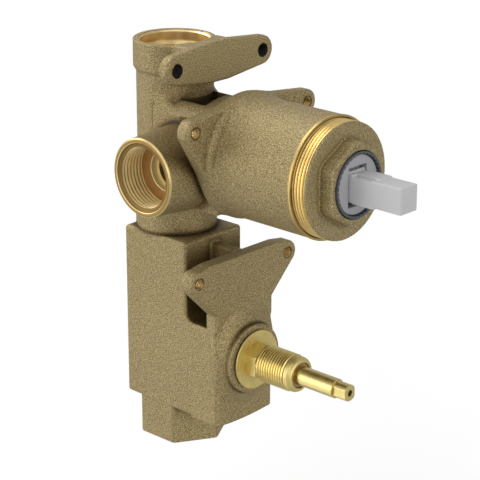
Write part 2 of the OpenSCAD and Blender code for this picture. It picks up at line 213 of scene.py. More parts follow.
# ------------------------------------------------------------------ mesh helpers
def painted_crease_shade(f, V, N, far=4.0):
    """painted shade: 1 on open faces, lower where the field closes in, darkening the inner corners like occlusion"""
    occ = np.zeros(len(V))
    for d, w in ((0.1 * far, 0.22), (0.22 * far, 0.24), (0.5 * far, 0.28), (far, 0.34)):
        P = V + N * d
        occ += w * np.clip((d - f(P[:, 0], P[:, 1], P[:, 2])) / d, 0, 1.3)
    return np.clip(1.02 - 0.95 * occ, 0.25, 1)

def obj_from(name, V, F, mat, body, replaces=(), N=None, sharp=32, shade=None):
    me = bpy.data.meshes.new(name)
    V = np.asarray(V, float)
    F = np.asarray(F)
    me.vertices.add(len(V))
    me.vertices.foreach_set("co", (V * MM).astype(np.float32).ravel())
    k = F.shape[1]
    me.loops.add(F.size)
    me.loops.foreach_set("vertex_index", F.astype(np.int32).ravel())
    me.polygons.add(len(F))
    me.polygons.foreach_set("loop_start", np.arange(0, F.size, k, dtype=np.int32))
    me.polygons.foreach_set("loop_total", np.full(len(F), k, np.int32))
    me.update(calc_edges=True)
    me.validate()
    me.shade_smooth()
    if N is not None:
        me.normals_split_custom_set_from_vertices([tuple(v) for v in N])
    elif sharp:
        me.set_sharp_from_angle(angle=math.radians(sharp))
    if shade is not None:
        me.attributes.new("shade", "FLOAT", "POINT").data.foreach_set("value", shade.astype(np.float32))
    me.materials.append(mat)
    o = bpy.data.objects.new(name, me)
    bpy.context.scene.collection.objects.link(o)
    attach(o, body)
    if replaces:
        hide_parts(*replaces)
    return o

def axis_map(axis, centre, sign=1):
    """maps (radial u, radial v, height h) to x, y, z; h runs along the axis"""
    cx, cy, cz = centre
    if axis == "x":
        return lambda u, v, h: np.stack([cx + sign * h, cy + sign * u, cz + v], -1)
    if axis == "y":
        return lambda u, v, h: np.stack([cx + u, cy - h, cz + v], -1)
    return lambda u, v, h: np.stack([cx + u, cy + sign * v, cz + sign * h], -1)

def polar(rows, place, seg=128, close=False):
    """rows: list of (h, r) where r is a number or a function of the angle"""
    th = np.linspace(0, 2 * np.pi, seg, endpoint=False)
    P = []
    for h, r in rows:
        rr = r(th) if callable(r) else np.full(seg, float(r))
        hh = h(th) if callable(h) else np.full(seg, float(h))
        P.append(place(rr * np.cos(th), rr * np.sin(th), hh))
    V = np.concatenate(P)
    F = []
    a = np.arange(seg)
    b = (a + 1) % seg
    for k in range(len(rows) - 1):
        F.append(np.stack([k * seg + a, k * seg + b, (k + 1) * seg + b, (k + 1) * seg + a], 1))
    return V, np.concatenate(F)

CRESTS, GROOVES = (2, 3, 4), (0, 1, 5, 6)
def thread(r_root, r_crest, h0, h1, pitch, place, seg=112, fade=1.0, crest=0.16, root=0.12, hand=1, pick=None):
    """a real helix between h0 and h1; profile runs root, flank, crest, flank; pick keeps some of its bands"""
    mid = r_root + 0.42 * (r_crest - r_root)
    a, b = 0.5 - crest / 2, 0.5 + crest / 2
    prof = [(0, r_root), (root, r_root), ((root + a) / 2, mid), (a, r_crest), (b, r_crest), ((b + 1) / 2, mid), (1 - root * 0.2, r_root + (r_crest - r_root) * 0.05)]
    turns = int(math.ceil((h1 - h0) / pitch)) + 2
    ks = []
    for t in range(-1, turns):
        for p, r in prof:
            ks.append((h0 + (t + p) * pitch, r))
    th = np.linspace(0, 2 * np.pi, seg, endpoint=False)
    P, A = [], []
    for h, r in ks:
        hh = h + hand * pitch * th / (2 * np.pi)
        hc = np.clip(hh, h0, h1)
        w = np.clip(np.minimum(hc - h0, h1 - hc) / (fade * pitch), 0, 1) if fade else 1.0
        rr = r_root + (r - r_root) * w
        P.append(place(rr * np.cos(th), rr * np.sin(th), hc))
        A.append(place(0 * rr, 0 * rr, hc))
    V = np.concatenate(P)
    R = V - np.concatenate(A)
    n = len(ks)
    m = len(prof)
    F = []
    a = np.arange(seg - 1)
    for k in range(n - 1):
        if pick is not None and k % m not in pick:
            continue
        F.append(np.stack([k * seg + a, k * seg + a + 1, (k + 1) * seg + a + 1, (k + 1) * seg + a], 1))
        k2 = k + hand * m
        if 0 <= k2 < n - 1:
            F.append(np.array([[k * seg + seg - 1, k2 * seg, (k2 + 1) * seg, (k + 1) * seg + seg - 1]]))
    F = np.concatenate(F)
    # drop faces squeezed flat by the clipping, turn the others away from the metal
    B = V[F]
    c = np.cross(B[:, 1] - B[:, 0], B[:, 2] - B[:, 0]) + np.cross(B[:, 2] - B[:, 0], B[:, 3] - B[:, 0])
    out = 1 if r_crest > r_root else -1
    wrong = (c * R[F].mean(1)).sum(1) * out < 0
    F[wrong] = F[wrong][:, ::-1]
    F = F[np.linalg.norm(c, axis=1) > 1e-7]
    used, inv = np.unique(F, return_inverse=True)
    return V[used], inv.reshape(F.shape)

def join(*parts):
    Vs, Fs, n = [], [], 0
    for V, F in parts:
        Vs.append(V)
        Fs.append(F + n)
        n += len(V)
    return np.concatenate(Vs), np.concatenate(Fs)

def flip(part):
    return part[0], part[1][:, ::-1]

def fix_normals(o, turn=True):
    import bmesh
    bm = bmesh.new()
    bm.from_mesh(o.data)
    bmesh.ops.remove_doubles(bm, verts=bm.verts, dist=1e-6)
    if turn:
        bmesh.ops.recalc_face_normals(bm, faces=bm.faces)
    bm.to_mesh(o.data)
    bm.free()
    o.data.shade_smooth()
    o.data.set_sharp_from_angle(angle=math.radians(32))

# ------------------------------------------------------------------ materials
def mat_new(name):
    m = bpy.data.materials.new(name)
    m.use_nodes = True
    nt = m.node_tree
    nt.nodes.clear()
    out = nt.nodes.new("ShaderNodeOutputMaterial")
    b = nt.nodes.new("ShaderNodeBsdfPrincipled")
    nt.links.new(b.outputs["BSDF"], out.inputs["Surface"])
    tc = nt.nodes.new("ShaderNodeTexCoord")
    return m, nt, b, tc.outputs["Object"]

def noise(nt, co, scale, detail=4, rough=0.55, dist=0.0):
    n = nt.nodes.new("ShaderNodeTexNoise")
    n.inputs["Scale"].default_value = scale
    n.inputs["Detail"].default_value = detail
    n.inputs["Roughness"].default_value = rough
    n.inputs["Distortion"].default_value = dist
    nt.links.new(co, n.inputs["Vector"])
    return n.outputs["Fac"]

def ramp(nt, fac, stops):
    r = nt.nodes.new("ShaderNodeValToRGB")
    cr = r.color_ramp
    while len(cr.elements) < len(stops):
        cr.elements.new(0.5)
    for e, (p, c) in zip(cr.elements, stops):
        e.position = p
        e.color = (*c, 1)
    nt.links.new(fac, r.inputs["Fac"])
    return r.outputs["Color"]

def mixc(nt, fac, a, b, mode="MIX"):
    m = nt.nodes.new("ShaderNodeMix")
    m.data_type = "RGBA"
    m.blend_type = mode
    for k, v in ((0, fac), (6, a), (7, b)):
        if hasattr(v, "is_linked") or hasattr(v, "links"):
            nt.links.new(v, m.inputs[k])
        elif k == 0:
            m.inputs[0].default_value = v
        else:
            m.inputs[k].default_value = (*v, 1)
    return m.outputs[2]

def bump(nt, height, strength, distance, normal=None):
    b = nt.nodes.new("ShaderNodeBump")
    b.inputs["Strength"].default_value = strength
    b.inputs["Distance"].default_value = distance
    nt.links.new(height, b.inputs["Height"])
    if normal is not None:
        nt.links.new(normal, b.inputs["Normal"])
    return b.outputs["Normal"]

def mapr(nt, v, a, b, c, d):
    n = nt.nodes.new("ShaderNodeMapRange")
    n.inputs[1].default_value, n.inputs[2].default_value = a, b
    n.inputs[3].default_value, n.inputs[4].default_value = c, d
    nt.links.new(v, n.inputs[0])
    return n.outputs[0]

def cast_material(name, dark, mid, light, metallic=0.55, grain=1.0):
    """blasted sand casting: fine bright grains, slow tone changes, small pits, and painted shade from the 'shade'
    attribute
    """
    m, nt, b, co = mat_new(name)
    dark, mid, light = ((r * 1.012, g, bl * 0.96) for r, g, bl in (dark, mid, light))
    fine = noise(nt, co, 2350, 2, 0.6)
    med = noise(nt, co, 1250, 3, 0.6)
    slow = noise(nt, co, 38, 4, 0.55)
    col = ramp(nt, fine, [(0.395, dark), (0.50, mid), (0.605, light)])
    col2 = ramp(nt, med, [(0.34, tuple(v * 0.76 for v in mid)), (0.52, mid), (0.68, tuple(min(1, v * 1.26) for v in mid))])
    c = mixc(nt, 0.22, col, col2)
    tone = ramp(nt, slow, [(0.30, (0.86, 0.85, 0.84)), (0.70, (1.0, 1.0, 1.0))])
    c = mixc(nt, 0.55, c, tone, "MULTIPLY")
    # painted shade: the 'shade' attribute darkens creases, inner corners and the marked shadow spots
    at = nt.nodes.new("ShaderNodeAttribute")
    at.attribute_name = "shade"
    painted_shade_tone = ramp(nt, at.outputs["Fac"], [(0.12, (0.15, 0.11, 0.065)), (0.40, (0.38, 0.31, 0.21)), (0.72, (0.76, 0.71, 0.61)), (0.96, (1.0, 1.0, 1.0))])
    c = mixc(nt, 1.0, c, painted_shade_tone, "MULTIPLY")
    nt.links.new(c, b.inputs["Base Color"])
    b.inputs["Metallic"].default_value = metallic
    nt.links.new(mapr(nt, med, 0.3, 0.7, 0.46, 0.64), b.inputs["Roughness"])
    n1 = bump(nt, slow, 0.25, 0.0012)
    n2 = bump(nt, med, 0.55 * grain, 0.00035, n1)
    n3 = bump(nt, fine, 0.60 * grain, 0.00018, n2)
    nt.links.new(n3, b.inputs["Normal"])
    return m

def machined_material(name, base, axis, rough=0.26, line=1.0, metallic=1.0):
    """turned brass with fine rings across its axis"""
    m, nt, b, co = mat_new(name)
    w = nt.nodes.new("ShaderNodeTexWave")
    w.wave_type = "BANDS"
    w.bands_direction = axis.upper()
    w.inputs["Scale"].default_value = 900
    w.inputs["Distortion"].default_value = 1.6
    w.inputs["Detail"].default_value = 2
    nt.links.new(co, w.inputs["Vector"])
    n = noise(nt, co, 260, 4, 0.6)
    c = ramp(nt, n, [(0.30, tuple(v * 0.90 for v in base)), (0.70, tuple(min(1, v * 1.06) for v in base))])
    nt.links.new(c, b.inputs["Base Color"])
    b.inputs["Metallic"].default_value = metallic
    nt.links.new(mapr(nt, n, 0.3, 0.7, rough * 0.85, rough * 1.25), b.inputs["Roughness"])
    n1 = bump(nt, w.outputs["Fac"], 0.10 * line, 0.00005)
    n2 = bump(nt, n, 0.03, 0.00006, n1)
    nt.links.new(n2, b.inputs["Normal"])
    return m

def plastic_material(name, base, rough=0.4, metallic=0.0, sss=0.0, vary=0.05, scale=420, bumpy=0.12):
    m, nt, b, co = mat_new(name)
    n = noise(nt, co, scale, 4, 0.6)
    s = noise(nt, co, scale * 0.12, 3, 0.5)
    c = ramp(nt, s, [(0.3, tuple(v * (1 - vary) for v in base)), (0.7, tuple(min(1, v * (1 + vary)) for v in base))])
    nt.links.new(c, b.inputs["Base Color"])
    b.inputs["Metallic"].default_value = metallic
    if sss:
        b.inputs["Subsurface Weight"].default_value = sss
        b.inputs["Subsurface Radius"].default_value = (1.0, 1.0, 1.0)
        b.inputs["Subsurface Scale"].default_value = 0.003
    nt.links.new(mapr(nt, n, 0.3, 0.7, rough * 0.85, min(1, rough * 1.2)), b.inputs["Roughness"])
    nt.links.new(bump(nt, n, bumpy, 0.0001), b.inputs["Normal"])
    return m

M_CAST = cast_material("cast_brass", (0.155, 0.113, 0.044), (0.302, 0.234, 0.105), (0.540, 0.442, 0.238))
M_NUT = cast_material("cast_brass_nut", (0.155, 0.115, 0.048), (0.310, 0.245, 0.118), (0.556, 0.460, 0.254))
GOLD = (0.82, 0.64, 0.33)
M_FACE = machined_material("bonnet_face_brass", (0.74, 0.60, 0.235), "y", 0.44, 0.3)
M_GY = machined_material("machined_brass_y", (0.75, 0.61, 0.25), "y", 0.29, 0.5)
M_GX = machined_material("machined_brass_x", GOLD, "x", 0.34, 0.4)
M_GZ = machined_material("machined_brass_z", GOLD, "z", 0.34, 0.4)
M_GN = machined_material("machined_brass_nut", (0.86, 0.66, 0.28), "y", 0.38, 0.1)
M_LIP = machined_material("machined_brass_lip", (0.58, 0.42, 0.16), "y", 0.40, 0.2)
M_EDGE = machined_material("machined_brass_edge", (0.70, 0.54, 0.26), "x", 0.36, 0.2)
# painted light: the port's chamfer, thread crests and bore get a brighter-than-brass colour to stand in for light
# inside the port
M_PORT = machined_material("tapped_brass_painted_light", (1.0, 0.80, 0.40), "x", 0.32, 0.1, 0.3)
# the ports' flat face rings get a dark brown colour
M_RIM = machined_material("dark_brass_rim", (0.30, 0.195, 0.055), "x", 0.42, 0.3)
# painted shade: the port threads' grooves are coloured darker than the crests
M_PORTG = machined_material("tapped_brass_groove_painted_shade", (0.50, 0.33, 0.10), "x", 0.45, 0.1, 0.45)
# painted shade: the port's floor annulus is coloured dark where it lies in shadow
M_FLOOR = machined_material("port_floor_painted_shade", (0.52, 0.30, 0.09), "x", 0.45, 0.2, 0.5)
# painted shade: the port's entry relief groove is coloured dark where it lies in shadow
M_RELIEF = machined_material("port_relief_painted_shade", (0.24, 0.145, 0.042), "x", 0.50, 0.2, 0.8)
# painted shade: the nut, bonnet and ear thread grooves below are coloured darker than their crests
M_NUTG = machined_material("nut_thread_groove", (0.40, 0.26, 0.08), "y", 0.42, 0.1)
M_BONG = machined_material("bonnet_thread_groove", (0.46, 0.33, 0.11), "y", 0.38, 0.1)
M_EARG = machined_material("ear_thread_groove", (0.18, 0.115, 0.05), "y", 0.50, 0.1)
M_CLIP = machined_material("brown_brass_clip", (0.45, 0.31, 0.14), "y", 0.40, 0.3)
M_GE = machined_material("tapped_brass", (0.70, 0.49, 0.20), "y", 0.30, 0.1)
M_LEVER = plastic_material("lever_plastic", (0.50, 0.50, 0.505), 0.42, sss=0.15)
M_GREY = plastic_material("grey_plastic", (0.37, 0.37, 0.385), 0.42, sss=0.25)
M_WHITE = plastic_material("white_plastic", (0.78, 0.78, 0.75), 0.40)
M_DARK = plastic_material("dark_plastic", (0.072, 0.076, 0.087), 0.42)
M_CERAM = plastic_material("ceramic_white", (0.84, 0.83, 0.79), 0.14, vary=0.02, bumpy=0.02)
M_RUBBER = plastic_material("black_rubber", (0.016, 0.016, 0.018), 0.62)
M_STEEL = plastic_material("steel_pin", (0.55, 0.56, 0.58), 0.28, metallic=1.0)
M_FIBRE = plastic_material("fibre_gasket", (0.050, 0.034, 0.017), 0.85, vary=0.2)
M_HOLE = plastic_material("blackened_thread", (0.016, 0.013, 0.013), 0.60)
# blackened hole thread; its groove and countersink colour is darker still as painted shade
M_HOLEG = plastic_material("blackened_groove_painted_shade", (0.004, 0.003, 0.003), 0.7)
for m in (M_HOLE, M_HOLEG):
    m.node_tree.nodes["Principled BSDF"].inputs["Specular IOR Level"].default_value = 0.12

BY_NODE = {
    "cartridge_housing": M_WHITE, "cartridge_base": M_WHITE, "hot_seal": M_RUBBER, "cold_seal": M_RUBBER,
    "outlet_seal": M_RUBBER, "base_o_ring": M_RUBBER, "disc_seal": M_RUBBER, "fixed_disc": M_CERAM,
    "moving_disc": M_CERAM, "disc_carrier": M_GREY, "turret": M_GREY, "slip_ring": M_WHITE,
    "lever_pin": M_STEEL, "limit_ring": M_DARK, "bonnet_gasket": M_FIBRE, "diverter_cage": M_WHITE,
    "diverter_seal": M_RUBBER, "diverter_fixed_disc": M_CERAM, "diverter_moving_disc": M_CERAM,
    "spindle_o_rings": M_RUBBER, "thrust_washer": M_WHITE, "spindle_clip": M_CLIP,
}
for n, o in NODES.items():
    m = BY_NODE.get(n)
    if m is None:
        continue
    if o.material_slots:
        for s in o.material_slots:
            s.material = m
    else:
        o.data.materials.append(m)

# ------------------------------------------------------------------ the casting
CZ = 132.6   # cartridge axis height
DZ = 44.1    # diverter axis height
TY = 3.75    # tube axis

def casting_skin(X, Y, Z):
    T = ln(X, Y - TY)
    R = np.interp(Z, [90, 103, 113, 161.6, 163.6, 176], [17.3, 17.3, 16.2, 16.2, 17.4, 17.4])
    tube = prism(T - R, Z, 92.0, 175.0, 0.5)
    # lower block, chamber, hexagon
    block = box(X, Y, Z, (-17.1, -18.25, 17), (17.1, 18.25, 94), 1.5)
    cham = prism(rect2(X, Y, (-17.1, -36.25), (17.1, 8), 1.7), Z, 17.0, 59.5, 1.0)
    zb = 15.8 - 0.9 * np.clip(1 - (X / 17.1) ** 2, 0, 1)
    chin = prism(rect2(X, Y, (-17.1, -36.25), (17.1, -19.9), 1.7), Z, zb, 40.0, 0.8)
    low = np.minimum(np.minimum(block, cham), chin)
    low = np.minimum(low, np.maximum(np.maximum(ru(block, cham, 4.6), np.abs(X) - 17.08), 50 - Z))
    hx = prism(hex2(X, Y, 17.1, 1.2), Z, 0.06, 20, 0.45)
    low = np.minimum(ru(low, hx, 0.5), low)
    # lower ear plate
    k = 83.2 - 5.2 * 0.7071 - (26.75 + 5.2 * 0.7071 - 17.1)
    e2 = poly2(X, Z, [(-26.75, 88.4), (-20.75, 89.4), (20.75, 89.4), (26.75, 88.4), (30.43, 79.52), (17.1, k), (17.1, 58), (-17.1, 58), (-17.1, k), (-30.43, 79.52)])
    e2 = np.minimum(e2, ln(np.abs(X) - 26.75, Z - 83.2) - 5.2)
    plate = prism(e2, Y, -36.25, -30.0, 0.9)
    low = np.minimum(low, plate)
    rib = box(X, Y, Z, (-1.6, -31, 57), (3.2, -17, 90.2), 0.9)
    low = ru(low, rib, 1.2)
    boss = prism(ln(X, Z - DZ) - 15.0, Y, -42.0, -34.0, 0.35)
    R = ln(X, Z - DZ)
    c = (X / np.maximum(R, 1)) ** 2
    skirt = prism(R - 15.2 - (2.6 * c + 5.2 * (1 - c)) * np.clip((Y + 39.9) / 3.65, 0, 1), Y, -39.9, -34.0, 0.4)
    skirt = np.maximum(skirt, np.abs(X) - 17.3)
    low = ru(ru(low, skirt, 2.4), boss, 0.4)
    low = np.minimum(low, tube)
    # top ears
    t2 = np.minimum(strap2(X, Z, (-25, 169.5), 6.2, (-4.5, 169.3), 8.4), strap2(X, Z, (25, 169.5), 6.2, (4.5, 169.3), 8.4))
    t2 = np.minimum(t2, rect2(X, Z, (-4.5, 160.9), (4.5, 177.7)))
    topp = prism(t2, Y, -23.0, -18.0, 1.2)
    pad = box(X, Y, Z, (-13, -19, 162.5), (13, -8, 175.8), 1.0)
    topp = ru(topp, pad, 1.2)
    up = ru(tube, topp, 1.0)
    # inlets and hub
    AX = np.abs(X)
    RI = np.interp(AX, [0, 16.5, 39.4], [18.9, 18.0, 16.4])
    inl = prism(ln(Y + 16.25, Z - 127.0) - RI, AX, -1, 38.95, 0.6)
    hub = box(X, Y, Z, (-16.05, -36, 109.8), (16.05, 3.75, 147.0), 0.35)
    k = np.clip((AX - 10.5) / 4.5, 0, 1)
    fil = ru(T - 16.2, ln(X, Z - CZ) - 22.2, 0.25 + 5.2 * k * k * (3 - 2 * k))
    fil = np.maximum(np.maximum(np.maximum(fil, AX - 16.05), Z - 160.5), np.maximum(Y - 3.75, 138 - Z))
    valley = box(X, Y, Z, (-9.3, -23.5, 149.4), (9.3, 30, 170), 1.2)
    hub = np.minimum(hub, rd(np.maximum(fil, -36 - Y), valley, 0.6))
    hub = ru(hub, inl, 0.5)
    up = ru(up, hub, 0.25)
    for a, b in (((16.25, 2.6, 155.2), (15.95, -0.1, 150.2)), ((16.1, 1.5, 149.6), (16.1, 1.5, 139.5))):
        ab = [q - p for p, q in zip(a, b)]
        t = np.clip(((AX - a[0]) * ab[0] + (Y - a[1]) * ab[1] + (Z - a[2]) * ab[2]) / sum(v * v for v in ab), 0, 1)
        up = rd(up, ln(AX - a[0] - t * ab[0], Y - a[1] - t * ab[1], Z - a[2] - t * ab[2]) - 0.42, 0.15)
    # cartridge chamber and its ears
    b2 = np.minimum(strap2(X, Z, (-33, 149), 5.3, (0, CZ), 25.3), strap2(X, Z, (33, 149), 5.3, (0, CZ), 25.3))
    bpl = prism(b2, Y, -41.0, -35.0, 1.2)
    RB = np.interp(-Y, [35, 41.5, 43.5, 46.0, 49.0, 83], [0.75, 0.75, 0.62, 0.18, 0.0, 0.0]) * np.clip((Z - CZ + 14) / 14, 0, 1)
    RB = RB + np.interp(-Y, [35, 47, 83], [25.2, 25.1, 25.15])
    bell = prism(ln(X, Z - CZ) - RB, Y, -82.6, -35.0, 0.3)
    bell = ru(bell, bpl, 2.6)
    up = ru(up, bell, 1.2)
    return np.minimum(low, up)

def casting_holes(X, Y, Z):
    T = ln(X, Y - TY)
    AX = np.abs(X)
    h = np.minimum(prism(T - 15.2, Z, 169.9, 180), prism(T - 13.9, Z, 156.0, 172))
    h = np.minimum(h, prism(ln(X, Y) - 13.9, Z, -4, 14.6))
    h = np.minimum(h, prism(ln(Y + 16.25, Z - 127.0) - 14.1, AX, 25.6, 44))
    h = np.minimum(h, prism(ln(Y + 16.25, Z - 127.0) - 15.1, AX, 38.1, 44))
    h = np.minimum(h, prism(ln(Y + 16.25, Z - 127.0) - 9.0, AX, 21.9, 44))
    h = np.minimum(h, prism(ln(Y + 16.25, Z - 127.0) - 7.5, AX, 5.4, 24))
    h = np.minimum(h, prism(ln(AX - 10.5, Z - 127.0) - 4.5, Y, -48, -16.25))
    h = np.minimum(h, prism(ln(X, Z - 142.0) - 4.5, Y, -48, -4.2))
    h = np.minimum(h, prism(ln(X, Y + 6.2) - 4.0, Z, 44, 143))
    h = np.minimum(h, box(X, Y, Z, (-3.6, -21.5, 44), (3.6, -6.2, 56.3)))
    h = np.minimum(h, prism(ln(X, Y - 9.0) - 6.25, Z, 46, 157))
    h = np.minimum(h, prism(ln(X - 3.82, Z - 47.92) - 2.8, Y, -3, 9))
    h = np.minimum(h, prism(ln(X, Y - 5.0) - 5.0, Z, 13, 42.4))
    h = np.minimum(h, prism(ln(X - 3.82, Z - 40.28) - 2.8, Y, -3, 6))
    h = np.minimum(h, prism(ln(X, Z - CZ) - 20.5, Y, -90, -46))
    h = np.minimum(h, prism(ln(X, Z - CZ) - 24.3, Y, -90, -73.5))
    h = np.minimum(h, prism(ln(X, Z - DZ) - 11.0, Y, -44, -2))
    h = np.minimum(h, prism(ln(AX - 25, Z - 169.5) - 2.66, Y, -26, -10))
    h = np.minimum(h, prism(ln(AX - 33, Z - 149) - 2.42, Y, -44, -30))
    h = np.minimum(h, prism(ln(AX - 26.75, Z - 83.2) - 2.42, Y, -40, -26))
    return h

def casting(X, Y, Z):
    return np.maximum(casting_skin(X, Y, Z), -casting_holes(X, Y, Z))

H = 0.60
V, Q, N = nets(casting, (-41.2, -85, -2.1), (41.2, 24, 179.5), H)
def painted_seam_shade(X, Y, Z):
    """painted shade: dark lines of painted contact shadow where cast shapes meet, painted shade on the inlets and
    around the boss, a painted shadow wedge below the top ear plate, and the dark gap behind the lower ear plate
    """
    AX = np.abs(X)
    T = ln(X, Y - TY)
    inl = ln(Y + 16.25, Z - 127.0) - np.interp(AX, [0, 16.5, 39.4], [18.9, 18.0, 16.4])
    bell = ln(X, Z - CZ) - 25.2
    k = np.ones(np.shape(X))
    def line(a, b, w, amount):
        return 1 - amount * np.exp(-(a * a + b * b) / (w * w))
    # painted contact shadow: dark lines along the neck, inlet, bell and plate junctions
    k = k * line(T - 17.3, Z - 94.0, 1.0, 0.75)
    k = k * np.where((Z < 116) & (Z > 96), line(T - 17.0, inl, 1.3, 0.75), 1)
    k = k * np.where((AX > 7) & (Z > 120) & (Y > -34), line(np.minimum(np.abs(AX - 16.05), np.abs(T - 16.2)), inl, 1.0, 0.85), 1)
    k = k * np.where(Y < -34, line(bell, inl, 1.6, 0.7), 1)
    k = k * np.where((Y < -34) & (AX > 10), line(inl, Y + 35.0, 1.3, 0.6), 1)
    # painted shade: a dark crescent round the boss, stronger above and below its centre
    up = np.clip(np.abs(Z - DZ) / 15.0 - 0.45, 0, 1) * 1.4
    k = k * line(ln(X, Z - DZ) - 15.15, Y + 39.95, 0.95, 0.42 + 0.45 * np.minimum(1, up))
    lens = ln(X, Z - CZ) - 22.2
    # painted shade: the inlets darker on top and underneath, to stand in for how the light falls
    k = k * np.where((AX > 16.3) & (np.abs(inl) < 0.9), (1 - 0.36 * np.clip((Z - 129) / 9, 0, 1)) * (1 - 0.18 * np.clip((122 - Z) / 7, 0, 1)), 1)
    # painted shadow: the dark wedge that the tube and top ear plate cast on the hub's top
    low = np.clip((152.9 - Z) / 0.6, 0, 1) * np.clip((10.3 - AX) / 0.8, 0, 1) * np.clip((Z - 146) / 1.0, 0, 1) * np.clip((0 - Y) / 2.0, 0, 1)
    k = k * (1 - 0.72 * low * np.clip((17.2 - T) / 0.6, 0, 1))
    k = k * (1 - 0.4 * low * np.clip((T - 16.6) / 0.6, 0, 1) * np.clip((20.5 - T) / 1.5, 0, 1) * np.clip((151.5 - Z) / 1.0, 0, 1) * np.clip((9.6 - AX) / 0.5, 0, 1))
    # painted crease shade along the hub's upper side edge
    k = k * np.where((Y < -15) & (Y > -31), line(AX - 16.05, Z - 147.4, 0.8, 0.6), 1)
    # painted shade in the gap between the lower ear plate and the block
    gap = np.clip((17.3 - AX) / 1.2, 0, 1) * np.clip((Y + 30.4) / 0.3, 0, 1) * np.clip((-17.9 - Y) / 0.3, 0, 1)
    gap = gap * np.clip((Z - 59.0) / 0.5, 0, 1) * np.clip((95.0 - Z) / 24.0, 0, 1)
    return k * (1 - 0.62 * gap)
# painted shade per vertex: corner darkening times the painted seam shadows, kept in the 'shade' attribute
SH = np.clip(painted_crease_shade(casting, V, N, 7.0) * painted_seam_shade(V[:, 0], V[:, 1], V[:, 2]), 0.12, 1)
C = V[Q].mean(1)
groups = {
    "casting_lower": C[:, 2] < 98,
    "casting_middle": (C[:, 2] >= 98) & (C[:, 2] < 146) & (C[:, 1] > -34),
    "casting_upper": (C[:, 2] >= 146) & (C[:, 1] > -34),
    "casting_chamber": (C[:, 2] >= 98) & (C[:, 1] <= -34),
}
for name, m in groups.items():
    q = Q[m]
    used, inv = np.unique(q, return_inverse=True)
    o = obj_from(name, V[used], inv.reshape(q.shape), M_CAST, "body", ("valve_body",), N[used], shade=SH[used])
    print(name, "quads", len(q))

# ------------------------------------------------------------------ machined mouths of the casting
def piece(name, parts, mat, body, replaces, turn=True):
    V, F = join(*parts) if len(parts) > 1 else parts[0]
    o = obj_from(name, V, F, mat, body, replaces)
    fix_normals(o, turn)
    return o

def two_tone(name, args, mats, body, replaces, slot, **kw):
    """a thread whose crests and grooves get their own materials; the darker groove colour is painted shade in the
    thread roots
    """
    piece(name + "_crests", [thread(*args, pick=CRESTS, **kw)], mats[0], body, replaces, False)
    piece(name + "_grooves", [thread(*args, pick=GROOVES, **kw)], mats[1], body, replaces, False)

PITCH = 1.75
def port(name, place, depth, bore):
    vb = ("valve_body",)
    # painted shade in the relief, floor and thread grooves; painted light on the chamfer, thread crests and bore
    piece(name + "_edge", [polar([(0.95, 16.40), (0.80, 16.47), (0.62, 16.44), (0.09, 15.82)], place, 160)], M_EDGE, "body", vb)
    piece(name + "_rim", [polar([(0.09, 15.82), (0.02, 15.74), (0.0, 15.66), (0.0, 14.78), (0.03, 14.70)], place, 160)], M_RIM, "body", vb)
    piece(name + "_chamfer", [polar([(0.03, 14.70), (0.22, 14.48), (0.28, 14.44)], place, 160)], M_PORT, "body", vb)
    piece(name + "_relief", [polar([(0.28, 14.44), (0.45, 14.2), (0.85, 13.9), (1.24, 12.72), (1.34, 12.70)], place, 160)], M_RELIEF, "body", vb)
    two_tone(name + "_thread", (13.70, 12.56, 1.18, 12.72, PITCH, place, 144), (M_PORT, M_PORTG), "body", vb, "turned_brass", fade=0.12, crest=0.26, root=0.14)
    piece(name + "_floor", [polar([(12.72, 13.70), (12.8, 13.15), (depth, 13.0), (depth + 0.5, bore + 0.35)], place, 144)], M_FLOOR, "body", vb)
    piece(name + "_bore", [polar([(depth + 0.5, bore + 0.35), (depth + 0.7, bore), (depth + 4.1, bore), (depth + 4.1, 7.3)], place, 144)], M_PORT, "body", vb)

port("inlet_left", axis_map("x", (-39.4, -16.25, 127.0), 1), 13.0, 8.3)
port("inlet_right", axis_map("x", (39.4, -16.25, 127.0), -1), 13.0, 8.3)
pz = axis_map("z", (0, 0, 0), 1)
piece("lower_outlet_thread", [
    polar([(0.03, 14.7), (0.0, 14.5), (0.0, 13.4), (0.1, 13.25), (0.25, 13.22)], pz),
    thread(13.22, 12.06, 0.25, 12.5, PITCH, pz),
    polar([(12.5, 13.22), (12.7, 12.4), (14.6, 12.4), (14.6, 4.6)], pz),
], M_GZ, "body", ("valve_body",))
pt = axis_map("z", (0, TY, 175.0), -1)
piece("top_outlet_thread", [
    polar([(-0.02, 15.9), (-0.03, 15.62), (0.1, 15.5), (1.0, 14.5), (4.8, 14.5), (4.8, 13.6), (5.2, 13.3)], pt),
    thread(13.22, 12.06, 5.2, 17.6, PITCH, pt),
    polar([(17.6, 13.22), (17.8, 12.4), (18.95, 12.4), (18.95, 11.4)], pt),
], M_GZ, "body", ("valve_body",))

# machined lip at the front of the cartridge chamber
pb = axis_map("y", (0, 0, CZ), 1)
piece("chamber_lip", [
    polar([(81.4, 25.1), (82.2, 25.22), (82.45, 25.38), (83.1, 25.38), (83.3, 25.2), (83.3, 24.5), (82.9, 24.15), (75.0, 24.1)], pb, 192),
], M_LIP, "body", ("valve_body",))

def ear_hole(name, x, z, y, r, root, mouth, mats, depth, pitch):
    """threaded hole with a small countersink; y is the ear's front face"""
    pl = axis_map("y", (x, 0, z), 1)
    f = -y
    # painted shade: the countersink ring takes the dark groove colour so it reads as the hole's shade
    piece(name, [polar([(f + 0.02, mouth), (f + 0.02, mouth - 0.12), (f - 0.25, root)], pl, 64)], mats[1], "body", ("valve_body",))
    two_tone(name + "_thread", (root, r, f - depth, f - 0.25, pitch, pl, 64), mats, "body", ("valve_body",), "turned_brass", fade=0.25, crest=0.24, root=0.15)

